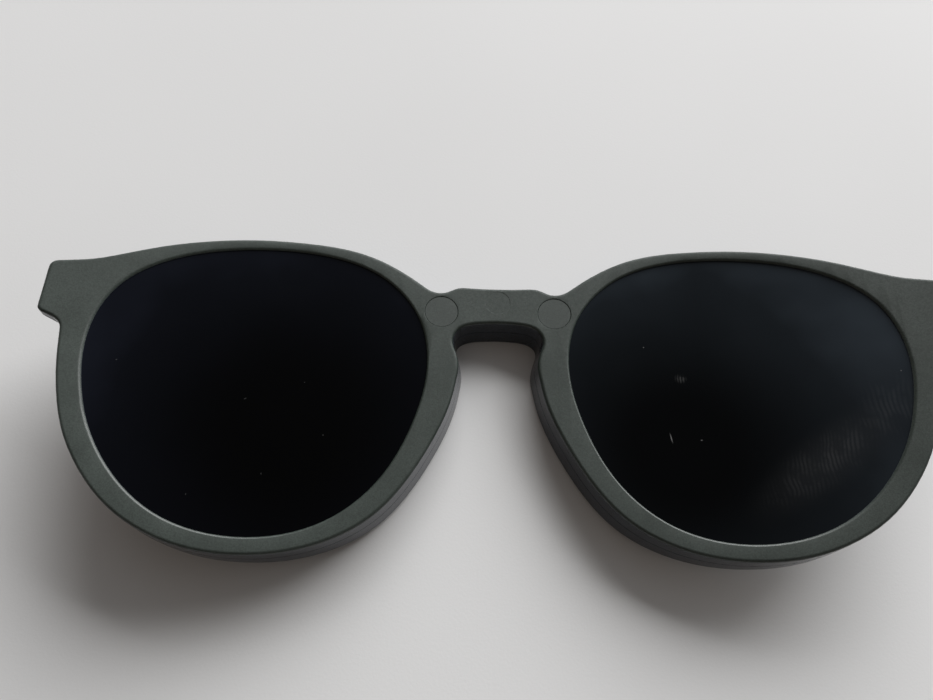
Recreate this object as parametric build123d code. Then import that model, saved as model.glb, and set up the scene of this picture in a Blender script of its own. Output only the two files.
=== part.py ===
from build123d import *
from math import asin, ceil, cos, pi, radians, sin, sqrt, tan
import os

os.makedirs("parts", exist_ok=True)

# Driving dimensions in millimetres; plan sizes are taken on the rear face
opening_width = 48.3
opening_height = 45.0
bridge_gap = 22.1
end_width = 6.55
rim_top = 1.7
rim_bottom = 2.4
rear_layer = 3.0
front_layer = 3.4
end_rear_layer = 1.45
end_front_layer = 0.55
rear_curve_radius = 200
wall_draft = 5.6
rear_edge_radius = 0.5
front_edge_radius = 0.3
opening_bevel = 0.35
opening_front_radius = 0.4
seam_height = 0.07
seam_depth = 0.09

# Lenses
lens_recess = 0.5
lens_thickness = 1.2
groove_depth = 0.6
fit_gap = 0.02

# Magnets and the plugs over the two beside the bridge
bridge_magnet_inset = 2.0
bridge_magnet_height_share = 0.562
bridge_magnet_diameter = 4.8
bridge_magnet_thickness = 1.9
cap_diameter = 5.2
cap_thickness = 0.6
cap_recess = 0.06
mouth_bevel = 0.12
end_magnet_inset = 3.2
end_magnet_height_share = 0.424
end_magnet_diameter = 3.8
end_magnet_thickness = 1.0
end_skin = 0.4
gate_mark_height_share = 0.6375
gate_mark_diameter = 4.0
gate_mark_depth = 0.05

# Corners of the end piece
end_top_radius = 1.3
end_foot_radius = 0.8
end_notch_radius = 2.0

# Working lengths
overrun = 0.6
sample_pitch = 2.2
fewest_samples = 5
rounding_steps = 4

frame_width = bridge_gap + 2 * (opening_width + end_width)
frame_height = rim_bottom + opening_height + rim_top
half_width = frame_width / 2
half_height = frame_height / 2
thickness = rear_layer + front_layer
opening_x = (bridge_gap + opening_width) / 2
opening_y = (rim_bottom - rim_top) / 2
bridge_magnet_x = bridge_gap / 2 - bridge_magnet_inset
bridge_magnet_y = bridge_magnet_height_share * half_height
end_magnet_x = half_width - end_magnet_inset
end_magnet_y = end_magnet_height_share * half_height
gate_mark_y = gate_mark_height_share * half_height

# Curved surfaces, each the lower side of a cylinder along Y: its radius and its lowest height
end_rise = rear_curve_radius - sqrt(rear_curve_radius**2 - half_width**2)
seam_rise = end_rise + rear_layer - end_rear_layer
front_rise = seam_rise + front_layer - end_front_layer
rear_face = (rear_curve_radius, thickness)
seam_face = ((half_width**2 + seam_rise**2) / (2 * seam_rise), front_layer)
front_face = ((half_width**2 + front_rise**2) / (2 * front_rise), 0)

# Outline of one half, as shares of the half width and half height
brow_shares = [
    (0, 0.741), (0.045, 0.742), (0.085, 0.745), (0.106, 0.735), (0.122, 0.714), (0.143, 0.699),
    (0.171, 0.725), (0.206, 0.790), (0.238, 0.845), (0.273, 0.896), (0.338, 0.961), (0.404, 0.992),
    (0.470, 1.0), (0.586, 0.984), (0.701, 0.925), (0.803, 0.833), (0.895, 0.719), (0.941, 0.674),
]
end_shares = [(0.941, 0.674), (0.998, 0.634), (1.0, 0.315), (0.953, 0.264), (0.949, 0.159)]
rim_shares = [
    (0.949, 0.159), (0.9425, 0.012), (0.928, -0.181), (0.906, -0.365), (0.866, -0.562), (0.797, -0.772),
    (0.715, -0.908), (0.630, -0.980), (0.546, -1.0), (0.425, -0.961), (0.346, -0.884), (0.272, -0.756),
    (0.209, -0.565), (0.1555, -0.328), (0.109, -0.029), (0.0955, 0.163), (0.0945, 0.224), (0.1, 0.275),
    (0.1065, 0.326), (0.109, 0.3665), (0.1075, 0.395), (0.0995, 0.431), (0.0805, 0.4635), (0.0545, 0.483),
    (0.027, 0.489), (0, 0.491),
]

# Lens opening, as shares of half its own width and height
opening_shares = [
    (1.0, 0.15), (0.888, 0.582), (0.595, 0.841), (0.24, 0.963), (-0.221, 0.996), (-0.64, 0.879),
    (-0.934, 0.545), (-1.0, 0.2), (-0.918, -0.234), (-0.743, -0.598), (-0.471, -0.864), (0.02, -1.0),
    (0.505, -0.865), (0.787, -0.576), (0.944, -0.229),
]


def at_shares(shares, width, height, centre=(0, 0)):
    """Turns shares of a half width and a half height into plan points about a centre."""
    return [Vector(centre[0] + share[0] * width, centre[1] + share[1] * height) for share in shares]


def frame_outline():
    """Edges of one half of the frame's outline in plan, clockwise from the top of the bridge."""
    brow = at_shares(brow_shares, half_width, half_height)
    end = at_shares(end_shares, half_width, half_height)
    rim = at_shares(rim_shares, half_width, half_height)
    brow_curve = Spline(*brow, tangents=[(1, 0), end[1] - end[0]])
    end_curve = FilletPolyline(*end, radius=[end_top_radius, end_foot_radius, end_notch_radius])
    rim_curve = Spline(*rim, tangents=[end[4] - end[3], (-1, 0)])
    return [brow_curve.edge(), *end_curve.edges(), rim_curve.edge()]


def opening_outline():
    """The lens opening in plan, clockwise."""
    points = at_shares(opening_shares, opening_width / 2, opening_height / 2, (opening_x, opening_y))
    points.reverse()
    return Spline(*points, periodic=True).edge()


def samples(edge, count):
    """Plan points and directions at even steps along an edge, both ends included."""
    return [(edge.position_at(i / count), edge.tangent_at(i / count)) for i in range(count + 1)]


def run_of(edges):
    """Samples along joined edges, closer together where an edge is short."""
    found = []
    for edge in edges:
        found = found[:-1] + samples(edge, max(fewest_samples, ceil(edge.length / sample_pitch)))
    return found


def frame_runs():
    """Runs of samples clockwise round the whole frame, the left half mirrored from the right."""
    edges = frame_outline()
    right = [run_of(edges[:1]), run_of(edges[1:-1]), run_of(edges[-1:])]
    left = [[(Vector(-p.X, p.Y, 0), Vector(d.X, -d.Y, 0)) for p, d in reversed(run)] for run in reversed(right)]
    return right + left


def opening_runs():
    """Two runs of samples clockwise round the right lens opening."""
    edge = opening_outline()
    count = ceil(edge.length / sample_pitch / 2)
    found = samples(edge, 2 * count)
    return [found[:count + 1], found[count:]]


def height_of(surface, x):
    """Height of a curved surface above a plan x."""
    radius, lowest = surface
    return lowest + radius - sqrt(radius**2 - x**2)


def along(direction, surface, x):
    """A plan direction tilted to follow a curved surface at a plan x."""
    radius, _ = surface
    return direction + Vector(0, 0, direction.X * x / sqrt(radius**2 - x**2))


def below(surface, depth):
    """The surface that runs at an even depth under another."""
    radius, lowest = surface
    return radius + depth, lowest - depth


def wall_block(runs, profile, draft=0):
    """Upright block along plan samples; profile gives (surface, outward offset) down its wall."""
    highest, lowest = height_of(rear_face, half_width) + thickness, -thickness
    rings = [[] for _ in range(len(profile) + 2)]
    for run in runs:
        rows, spans = [[] for _ in rings], [0]
        for point, direction in run:
            outward = Vector(-direction.Y, direction.X, 0)
            places = []
            for surface, offset in profile:
                drop = height_of(rear_face, point.X) - height_of(surface, point.X)
                place = Vector(point.X, point.Y, 0) + outward * (offset + drop * tan(radians(draft)))
                places.append(place + Vector(0, 0, height_of(surface, place.X)))
            top = Vector(places[0].X, places[0].Y, highest)
            bottom = Vector(places[-1].X, places[-1].Y, lowest)
            for row, place in zip(rows, [top, *places, bottom]):
                row.append(place)
        for (before, _), (after, _) in zip(run, run[1:]):
            spans.append(spans[-1] + (after - before).length)
        ends = [run[0][1], run[-1][1]]
        tilted = [[along(end, surface, row[i].X) for i, end in zip((0, -1), ends)]
                  for (surface, _), row in zip(profile, rows[1:])]
        for ring, row, directions in zip(rings, rows, [ends, *tilted, ends]):
            ring.append(Edge.make_spline(row, tangents=directions, parameters=spans, scale=False))
    walls = []
    for upper, lower in zip(rings, rings[1:]):
        walls += [Face.make_surface_from_curves(*pair) for pair in zip(upper, lower)]
    return Solid(Shell([Face(Wire(rings[0])), *walls, Face(Wire(rings[-1]))]))


def cylinder_of(surface):
    """Solid cylinder whose lower side is a curved surface."""
    radius, lowest = surface
    axis = Plane(origin=(0, -frame_width / 2, lowest + radius), x_dir=(0, 0, 1), z_dir=(0, 1, 0))
    return Solid.make_cylinder(radius, frame_width, axis)


def between(block, upper, lower):
    """The part of a block that lies between two curved surfaces."""
    return (block & cylinder_of(lower)) - cylinder_of(upper)


def rounding(radius):
    """Depths and insets round an edge from its face down to its wall, starting just off the face."""
    angles = [i / rounding_steps * pi / 2 for i in range(1, rounding_steps + 1)]
    steps = [(radius * (1 - cos(angle)), radius * (1 - sin(angle))) for angle in angles]
    return [(-steps[0][0], 2 * radius - steps[0][1]), *steps]


def square_to_rear(x, y, depth):
    """Plane square to the rear face at a plan place and a depth, facing forward."""
    angle = asin(x / rear_curve_radius)
    forward, sideways = Vector(sin(angle), 0, -cos(angle)), Vector(cos(angle), 0, sin(angle))
    start = Vector(x, y, height_of(rear_face, x)) + forward * depth
    return Plane(origin=start, x_dir=sideways, z_dir=forward)


def disc(x, y, depth_from, depth_to, diameter):
    """Round disc between two depths below the rear face."""
    return Solid.make_cylinder(diameter / 2, depth_to - depth_from, square_to_rear(x, y, depth_from))


def dish(x, y, depth, diameter):
    """Shallow round hollow in the rear face: sloping sides, and the given diameter at its floor."""
    height = overrun + depth
    return Solid.make_cone(diameter / 2 + height, diameter / 2, height, square_to_rear(x, y, -overrun))


def opening_tool():
    """Everything cut away for the right lens: bevelled rear edge, groove and rounded front edge."""
    top, bottom = lens_recess - fit_gap, lens_recess + lens_thickness + fit_gap
    grown = groove_depth + fit_gap
    rows = [(-opening_bevel, 2 * opening_bevel), (opening_bevel, 0)]
    rows += [(top, 0), (top, grown), (bottom, grown), (bottom, 0)]
    profile = [(below(rear_face, depth), offset) for depth, offset in rows]
    profile += [(below(front_face, -depth), inset) for depth, inset in reversed(rounding(opening_front_radius))]
    return wall_block(opening_runs(), profile)


def plug_bore():
    """Stepped bore from the rear face for the right bridge magnet and the plug, with a bevelled mouth."""
    step, wide = cap_recess + cap_thickness, cap_diameter + 2 * fit_gap
    mouth = dish(bridge_magnet_x, bridge_magnet_y, mouth_bevel, wide)
    seat = disc(bridge_magnet_x, bridge_magnet_y, 0, step, wide)
    floor = step + bridge_magnet_thickness
    return mouth + seat + disc(bridge_magnet_x, bridge_magnet_y, 0, floor, bridge_magnet_diameter + 2 * fit_gap)


def rear_block():
    """Rear layer: rounded rear edge and half of the seam line."""
    profile = [(below(rear_face, depth), -inset) for depth, inset in rounding(rear_edge_radius)]
    ledge = below(seam_face, -seam_height)
    profile += [(ledge, 0), (ledge, -seam_depth)]
    return between(wall_block(frame_runs(), profile, wall_draft), rear_face, seam_face)


def front_block():
    """Front layer: the other half of the seam line and the rounded front edge."""
    ledge = below(seam_face, seam_height)
    profile = [(ledge, -seam_depth), (ledge, 0)]
    profile += [(below(front_face, -depth), -inset) for depth, inset in reversed(rounding(front_edge_radius))]
    return between(wall_block(frame_runs(), profile, wall_draft), seam_face, front_face)


def with_mirror(solid):
    """A right-hand solid and its mirror image."""
    return [solid, mirror(solid, about=Plane.YZ)]


def write_pair(solid, name):
    """Writes a right-hand piece and its mirror image."""
    for piece, side in zip(with_mirror(solid), ("right", "left")):
        export_step(piece, f"parts/{name}_{side}.step")


opening = opening_tool()
pocket = disc(end_magnet_x, end_magnet_y, end_skin, thickness, end_magnet_diameter + 2 * fit_gap)
mark = dish(0, gate_mark_y, gate_mark_depth, gate_mark_diameter)
rear_cuts = [*with_mirror(opening), *with_mirror(plug_bore()), *with_mirror(pocket), mark]
export_step((rear_block() - rear_cuts).solid(), "parts/rear_shell.step")
export_step((front_block() - with_mirror(opening)).solid(), "parts/front_shell.step")

lens_back = below(rear_face, lens_recess)
lens_front = below(lens_back, lens_thickness)
lens_block = wall_block(opening_runs(), [(below(lens_back, lens_thickness / 2), groove_depth)])
write_pair(between(lens_block, lens_back, lens_front).solid(), "lens")

plug_foot = cap_recess + cap_thickness
cap = disc(bridge_magnet_x, bridge_magnet_y, cap_recess, plug_foot, cap_diameter)
write_pair(cap, "bridge_cap")
magnet_foot = plug_foot + bridge_magnet_thickness
magnet = disc(bridge_magnet_x, bridge_magnet_y, plug_foot, magnet_foot, bridge_magnet_diameter)
write_pair(magnet, "bridge_magnet")
end_foot = end_skin + end_magnet_thickness
write_pair(disc(end_magnet_x, end_magnet_y, end_skin, end_foot, end_magnet_diameter), "end_magnet")
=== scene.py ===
import bmesh
import bpy
import numpy as np
from mathutils import Matrix, Vector


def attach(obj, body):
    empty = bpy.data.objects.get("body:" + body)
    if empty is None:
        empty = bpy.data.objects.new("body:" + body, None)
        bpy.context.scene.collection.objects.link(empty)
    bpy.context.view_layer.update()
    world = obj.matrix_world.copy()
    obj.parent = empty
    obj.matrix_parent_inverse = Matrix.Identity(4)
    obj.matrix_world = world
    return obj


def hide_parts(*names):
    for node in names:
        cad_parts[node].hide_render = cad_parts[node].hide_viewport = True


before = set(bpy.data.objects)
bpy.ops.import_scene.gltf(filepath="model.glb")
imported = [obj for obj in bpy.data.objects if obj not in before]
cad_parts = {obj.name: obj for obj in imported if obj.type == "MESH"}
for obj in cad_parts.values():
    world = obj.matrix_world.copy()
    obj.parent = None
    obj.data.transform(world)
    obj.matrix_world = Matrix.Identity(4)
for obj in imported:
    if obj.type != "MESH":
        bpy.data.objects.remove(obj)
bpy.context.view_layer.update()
MM = 0.001


# Rear layer of the frame, the face that meets the glasses.
# Moulded in dark green-grey plastic with a fine spark-eroded skin, and glued to the
# front layer along a hairline seam that runs all round the edge.
def smooth_copy(node, name, crease=50, merge_reach=0.002 * MM):
    """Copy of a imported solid's skin with doubles merged. A corner's normal is the sum of
    normal times area to the power 1.5, over the faces round its point that lie within the
    crease angle of its own face; large faces count most, so the broad ones stay true."""
    mesh = bpy.data.meshes.new(name)
    work = bmesh.new()
    work.from_mesh(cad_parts[node].data)
    bmesh.ops.remove_doubles(work, verts=work.verts, dist=merge_reach)
    bmesh.ops.dissolve_degenerate(work, edges=work.edges, dist=merge_reach)
    work.to_mesh(mesh)
    least = np.cos(np.radians(crease))
    corners = []
    for face in work.faces:
        for loop in face.loops:
            near = [other for other in loop.vert.link_faces if other.normal.dot(face.normal) > least]
            pull = [other.normal * other.calc_area() ** 1.5 for other in near]
            corners.append(sum(pull, Vector()).normalized())
    work.free()
    mesh.shade_smooth()
    mesh.normals_split_custom_set(corners)
    piece = bpy.data.objects.new(name, mesh)
    bpy.context.scene.collection.objects.link(piece)
    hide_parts(node)
    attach(piece, "root")
    return piece


def new_finish(name):
    """Empty finish: its node tree, shader and the object's own coordinates."""
    finish = bpy.data.materials.new(name)
    finish.use_nodes = True
    tree = finish.node_tree
    place = tree.nodes.new("ShaderNodeTexCoord").outputs["Object"]
    return finish, tree, tree.nodes["Principled BSDF"], place


def noise(tree, place, scale, detail):
    """A cloud of even grey values; scale is its number of lumps in a metre."""
    cloud = tree.nodes.new("ShaderNodeTexNoise")
    cloud.inputs["Scale"].default_value = scale
    cloud.inputs["Detail"].default_value = detail
    tree.links.new(place, cloud.inputs["Vector"])
    return cloud.outputs["Fac"]


def ramp(tree, value, stops):
    """Turns a grey value into the colours of the stops, blended between them."""
    blend = tree.nodes.new("ShaderNodeValToRGB")
    for i, (at, colour) in enumerate(stops):
        stop = blend.color_ramp.elements[i] if i < 2 else blend.color_ramp.elements.new(at)
        stop.position = at
        stop.color = (*colour, 1)
    tree.links.new(value, blend.inputs["Fac"])
    return blend.outputs["Color"]


def tones(tree, value, dark, light, start=0.3, end=0.7):
    """Goes from a dark colour to a light one as a grey value goes from start to end."""
    return ramp(tree, value, [(start, dark), (end, light)])


def greys(tree, value, dark, light, start=0.3, end=0.7):
    """Goes from a dark grey to a light one as a grey value goes from start to end."""
    return tones(tree, value, (dark,) * 3, (light,) * 3, start, end)


def mixed(tree, how, first, second, share=None):
    """Two colours multiplied, added or mixed; in full, or by a linked share."""
    mix = tree.nodes.new("ShaderNodeMix")
    mix.data_type = "RGBA"
    mix.blend_type = how
    mix.inputs["Factor"].default_value = 1.0
    if share:
        tree.links.new(share, mix.inputs["Factor"])
    tree.links.new(first, mix.inputs["A"])
    tree.links.new(second, mix.inputs["B"])
    return mix.outputs["Result"]


def skin(tree, value, height, strength):
    """Normal of a relief of a given height in metres, made from a grey value."""
    bump = tree.nodes.new("ShaderNodeBump")
    bump.inputs["Distance"].default_value = height
    bump.inputs["Strength"].default_value = strength
    tree.links.new(value, bump.inputs["Height"])
    return bump.outputs["Normal"]


def below_rear_face(tree, place, start, end):
    """0 on the rear face, 1 well below it: the distance of (x, z) from the axis of the face's
    curve less its radius, spread over the depths from start to end."""
    radius, lowest = 200 * MM, 6.4 * MM
    flat = tree.nodes.new("ShaderNodeVectorMath")
    flat.operation = "MULTIPLY_ADD"
    flat.inputs[1].default_value = (1, 0, 1)
    flat.inputs[2].default_value = (0, 0, -(lowest + radius))
    tree.links.new(place, flat.inputs[0])
    length = tree.nodes.new("ShaderNodeVectorMath")
    length.operation = "LENGTH"
    tree.links.new(flat.outputs["Vector"], length.inputs[0])
    depth = tree.nodes.new("ShaderNodeMapRange")
    depth.inputs["From Min"].default_value = radius + start
    depth.inputs["From Max"].default_value = radius + end
    tree.links.new(length.outputs["Value"], depth.inputs["Value"])
    return depth.outputs["Result"]


def moulded_plastic(name, face_tones, wall_shade_tones, face_gloss, wall_gloss):
    """Cloudy plastic with a fine speckle. Its rear face is spark eroded, which makes it matt
    and pitted; its edges are satin, and its walls smooth and in the wall tones, a painted shade."""
    edge_start, wall_start = 0.06 * MM, 0.42 * MM
    edge_share, wall_share = 0.2, 0.8
    cloud_scale, speckle_scale, uneven_scale, pit_scale = 140, 5200, 2600, 7000
    pit_depth, pit_strength, pits_on_walls = 0.012 * MM, 0.45, 0.12
    edge_gloss = 0.35 * face_gloss + 0.65 * wall_gloss
    finish, tree, shader, place = new_finish(name)
    depth = below_rear_face(tree, place, edge_start, wall_start)

    cloud = noise(tree, place, cloud_scale, 4)
    # Below the edge the colour turns to the wall tones: painted shade on the walls, not a colour of their
    # own.
    wall_shade_share = greys(tree, depth, 0, 1, wall_share, 1)
    tone = mixed(tree, "MIX", tones(tree, cloud, *face_tones), tones(tree, cloud, *wall_shade_tones), wall_shade_share)
    speckle = greys(tree, noise(tree, place, speckle_scale, 2), 0.72, 1.28, 0.35, 0.65)
    tree.links.new(mixed(tree, "MULTIPLY", tone, speckle), shader.inputs["Base Color"])

    stops = [(0, face_gloss), (edge_share, edge_gloss), (wall_share, edge_gloss), (1, wall_gloss)]
    gloss = ramp(tree, depth, [(at, (rough,) * 3) for at, rough in stops])
    uneven = greys(tree, noise(tree, place, uneven_scale, 3), 0.88, 1.12)
    tree.links.new(mixed(tree, "MULTIPLY", gloss, uneven), shader.inputs["Roughness"])
    shader.inputs["Specular IOR Level"].default_value = 0.45

    fading = greys(tree, depth, 1, pits_on_walls, 0, 1)
    pits = mixed(tree, "MULTIPLY", noise(tree, place, pit_scale, 2), fading)
    tree.links.new(skin(tree, pits, pit_depth, pit_strength), shader.inputs["Normal"])
    return finish


green_grey = [(0.021, 0.029, 0.024), (0.033, 0.043, 0.037)]
blue_black = [(0.024, 0.030, 0.038), (0.034, 0.041, 0.051)]
rear = smooth_copy("rear_shell", "rear_layer")
# The rear layer's walls take the darker blue-black tones as painted shade; the plastic itself is green-grey
# all through.
rear.data.materials.append(moulded_plastic("green_grey_plastic", green_grey, blue_black, 0.68, 0.2))


# Front layer of the frame, moulded in blue-black plastic.
# Its skin is smoother than the rear layer's, so its walls mirror the paper.
front = smooth_copy("front_shell", "front_layer")
front.data.materials.append(moulded_plastic("blue_black_plastic", blue_black, blue_black, 0.3, 0.2))


# Lenses, cut from dark tinted sheet and curved like the frame.
# Each sits in a groove round its opening and carries a little dust and handling; it is painted lighter away
# from a clear spot, partly handling film and partly painted reflection.
def spot(tree, place, centre, reach, turn):
    """1 at a centre, falling to 0 at the edge of an ellipse turned in plan."""
    local = tree.nodes.new("ShaderNodeMapping")
    local.vector_type = "TEXTURE"
    local.inputs["Location"].default_value = centre
    local.inputs["Rotation"].default_value = (0, 0, np.radians(turn))
    local.inputs["Scale"].default_value = (*reach, 1)
    tree.links.new(place, local.inputs["Vector"])
    length = tree.nodes.new("ShaderNodeVectorMath")
    length.operation = "LENGTH"
    tree.links.new(local.outputs["Vector"], length.inputs[0])
    fade = tree.nodes.new("ShaderNodeMapRange")
    fade.interpolation_type = "SMOOTHSTEP"
    fade.inputs["From Min"].default_value = 1
    fade.inputs["From Max"].default_value = 0
    tree.links.new(length.outputs["Value"], fade.inputs["Value"])
    return fade.outputs["Result"]


def ridges(tree, place, pitch):
    """Wavering lines at a pitch in metres, rubbed away in patches."""
    waves = tree.nodes.new("ShaderNodeTexWave")
    waves.inputs["Scale"].default_value = 2 * np.pi / (20 * pitch)
    waves.inputs["Distortion"].default_value = 14
    waves.inputs["Detail"].default_value = 3
    waves.inputs["Detail Scale"].default_value = 0.22
    tree.links.new(place, waves.inputs["Vector"])
    lines = greys(tree, waves.outputs["Fac"], 0, 1, 0, 0.9)
    rubbed = greys(tree, noise(tree, place, 420, 3), 0.1, 1, 0.42, 0.58)
    return mixed(tree, "MULTIPLY", lines, rubbed)


def film_and_sheen_spread(tree, place, clear_spot):
    """How far a film of handling and a painted reflection have built up: 0 near a clear spot,
    more further out, in patches."""
    film_and_sheen_start, film_and_sheen_end = 6 * MM, 37 * MM
    away = tree.nodes.new("ShaderNodeVectorMath")
    away.operation = "DISTANCE"
    away.inputs[1].default_value = clear_spot
    tree.links.new(place, away.inputs[0])
    spread = tree.nodes.new("ShaderNodeMapRange")
    spread.interpolation_type = "SMOOTHSTEP"
    spread.inputs["From Min"].default_value = film_and_sheen_start
    spread.inputs["From Max"].default_value = film_and_sheen_end
    tree.links.new(away.outputs["Value"], spread.inputs["Value"])
    patchy = tree.nodes.new("ShaderNodeMath")
    patchy.operation = "MULTIPLY"
    tree.links.new(spread.outputs["Result"], patchy.inputs[0])
    tree.links.new(greys(tree, noise(tree, place, 45, 3), 0.6, 1), patchy.inputs[1])
    return patchy.outputs["Value"]


def tinted_sheet(name, clear_spot, film_and_sheen, marks):
    """Nearly black glossy sheet under a film of handling and a painted reflection, with fingerprints
    and flecks. Each mark is (centre, reach, turn in degrees, ridge pitch or none, grey)."""
    finish, tree, shader, place = new_finish(name)
    # The colour lightens away from the clear spot: partly handling film, partly a painted reflection of the
    # window standing in for the sheen.
    clear, thin = [0.03 * tone for tone in film_and_sheen], [0.33 * tone for tone in film_and_sheen]
    colour = ramp(tree, film_and_sheen_spread(tree, place, clear_spot), [(0, clear), (0.6, thin), (1, film_and_sheen)])
    for centre, reach, turn, pitch, tone in marks:
        mark = greys(tree, spot(tree, place, centre, reach, turn), 0, tone, 0, 1)
        if pitch:
            mark = mixed(tree, "MULTIPLY", mark, ridges(tree, place, pitch))
        colour = mixed(tree, "ADD", colour, mark)
    tree.links.new(colour, shader.inputs["Base Color"])
    smear = greys(tree, noise(tree, place, 90, 5), 0.05, 0.16, 0.45, 0.8)
    tree.links.new(smear, shader.inputs["Roughness"])
    shader.inputs["Specular IOR Level"].default_value = 0.09
    return finish


# Tones of the handling film and painted reflection on each lens; the right lens is painted much lighter.
film_and_sheen = {"left": (0.0074, 0.0088, 0.0140), "right": (0.027, 0.034, 0.042)}
clear_spot = {"left": (-0.031, -0.006, 0.009), "right": (0.0270, -0.0085, 0.009)}
marks = {
    "left": [
        ((-0.0551, 0.0017, 0.013), (0.00016, 0.00010), 20, None, 0.05),
        ((-0.0374, -0.0024, 0.009), (0.00030, 0.00012), 30, None, 0.03),
        ((-0.0259, -0.0072, 0.007), (0.00014, 0.00018), 0, None, 0.03),
        ((-0.0293, 0.0008, 0.008), (0.00012, 0.00012), 0, None, 0.03),
        ((-0.0339, -0.0133, 0.009), (0.00012, 0.00020), 10, None, 0.03),
        ((-0.0433, -0.0167, 0.010), (0.00010, 0.00020), 0, None, 0.03),
    ],
    "right": [
        ((0.0466, -0.0103, 0.0119), (0.0165, 0.0050), 36, None, 0.007),
        ((0.0466, -0.0103, 0.0119), (0.0135, 0.0040), 36, 0.00056, 0.013),
        ((0.0560, -0.0030, 0.0140), (0.0050, 0.0060), -20, 0.00070, 0.009),
        ((0.0279, 0.0027, 0.0081), (0.0011, 0.0010), 10, 0.0004, 0.05),
        ((0.0256, -0.0067, 0.0077), (0.00012, 0.0010), 10, None, 0.16),
        ((0.0299, -0.0071, 0.0083), (0.00022, 0.00012), 0, None, 0.12),
        ((0.0228, 0.0080, 0.0074), (0.00014, 0.00014), 0, None, 0.12),
        ((0.0580, 0.0021, 0.0147), (0.00014, 0.00014), 0, None, 0.12),
    ],
}
for side in ("left", "right"):
    lens = smooth_copy(f"lens_{side}", f"tinted_lens_{side}")
    lens.data.materials.append(tinted_sheet(f"dark_tint_{side}", clear_spot[side], film_and_sheen[side], marks[side]))


# Plugs and magnets: moulded discs pressed in over the bridge magnets, a little below the
# rear face, and nickel-plated disc magnets under them and shut into the end pieces.
def nickel_plate():
    """Thin plating with a satin grain."""
    finish, tree, shader, place = new_finish("nickel_plate")
    grain = tones(tree, noise(tree, place, 900, 3), (0.50, 0.49, 0.46), (0.60, 0.59, 0.56))
    tree.links.new(grain, shader.inputs["Base Color"])
    shader.inputs["Metallic"].default_value = 1.0
    shader.inputs["Roughness"].default_value = 0.3
    return finish


plug_tones = [(0.022, 0.030, 0.025), (0.033, 0.042, 0.037)]
# The plugs' walls also take the blue-black tones, as painted shade.
plug_plastic = moulded_plastic("plug_plastic", plug_tones, blue_black, 0.6, 0.6)
plating = nickel_plate()
for side in ("left", "right"):
    plug = smooth_copy(f"bridge_cap_{side}", f"plug_{side}")
    plug.data.materials.append(plug_plastic)
    for seat in ("bridge", "end"):
        magnet = smooth_copy(f"{seat}_magnet_{side}", f"{seat}_disc_magnet_{side}")
        magnet.data.materials.append(plating)


# White paper that the clip lies on, front face down.
# A plain sheet far larger than the view, with a faint tooth.
def paper():
    """Pale matt sheet with a fine tooth."""
    tooth_height, tooth_strength = 0.02 * MM, 0.6
    finish, tree, shader, place = new_finish("paper")
    tree.links.new(greys(tree, noise(tree, place, 9, 2), 0.70, 0.73), shader.inputs["Base Color"])
    shader.inputs["Roughness"].default_value = 0.9
    shader.inputs["Specular IOR Level"].default_value = 0.1
    tooth = skin(tree, noise(tree, place, 2500, 3), tooth_height, tooth_strength)
    tree.links.new(tooth, shader.inputs["Normal"])
    return finish


sheet_half = 4.0
sheet_mesh = bpy.data.meshes.new("paper")
corners = np.array([(-1, -1, 0), (1, -1, 0), (1, 1, 0), (-1, 1, 0)]) * sheet_half
sheet_mesh.from_pydata(corners.tolist(), [], [(0, 1, 2, 3)])
sheet = bpy.data.objects.new("paper", sheet_mesh)
sheet.data.materials.append(paper())
bpy.context.scene.collection.objects.link(sheet)


# Light: one large soft window on the far side, to the right, and a dim room round it that
# is lighter towards the window.
window_size, window_power, window_distance = (1.5, 0.9), 36.5, 1.4
window = bpy.data.lights.new("window", "AREA")
window.shape = "RECTANGLE"
window.size, window.size_y = window_size
window.energy = window_power
window_lamp = bpy.data.objects.new("window", window)
bpy.context.scene.collection.objects.link(window_lamp)
toward = np.array([0.38, 0.79, 0.48])
toward = toward / np.linalg.norm(toward)
across = np.cross([0, 0, 1], toward)
across = across / np.linalg.norm(across)
up = np.cross(toward, across)
facing_clip = Matrix([(across[i], up[i], toward[i]) for i in range(3)]).to_4x4()
window_lamp.matrix_world = Matrix.Translation((toward * window_distance).tolist()) @ facing_clip

dim_wall, light_wall = (0.128, 0.110, 0.096), (0.36, 0.38, 0.40)
world = bpy.data.worlds.new("room")
bpy.context.scene.world = world
world.use_nodes = True
room = world.node_tree
facing = room.nodes.new("ShaderNodeVectorMath")
facing.operation = "DOT_PRODUCT"
facing.inputs[1].default_value = (0.5, 0.87, 0)
room.links.new(room.nodes.new("ShaderNodeTexCoord").outputs["Generated"], facing.inputs[0])
walls = tones(room, facing.outputs["Value"], dim_wall, light_wall, 0, 0.75)
room.links.new(walls, room.nodes["Background"].inputs["Color"])


# Camera, above the near side of the clip and tilted back, as in the photograph.
def turn_about(axis, degrees):
    """Rotation by an angle about one axis, as a matrix."""
    return Matrix.Rotation(np.radians(degrees), 3, axis)


view_width, focal_pixels = 933, 700
eye = (-7.25 * MM, -34.82 * MM, 107.74 * MM)
camera = bpy.data.cameras.new("camera")
camera.sensor_width = 36
camera.lens = camera.sensor_width * focal_pixels / view_width
camera.clip_start = 0.001
camera.clip_end = 50
stand = bpy.data.objects.new("camera", camera)
bpy.context.scene.collection.objects.link(stand)
to_view = turn_about("Z", -1.187) @ turn_about("Y", 1.1896) @ turn_about("X", -22.5575)
stand.matrix_world = Matrix.Translation(eye) @ to_view.transposed().to_4x4()
bpy.context.scene.camera = stand
bpy.context.scene.view_settings.view_transform = "Standard"
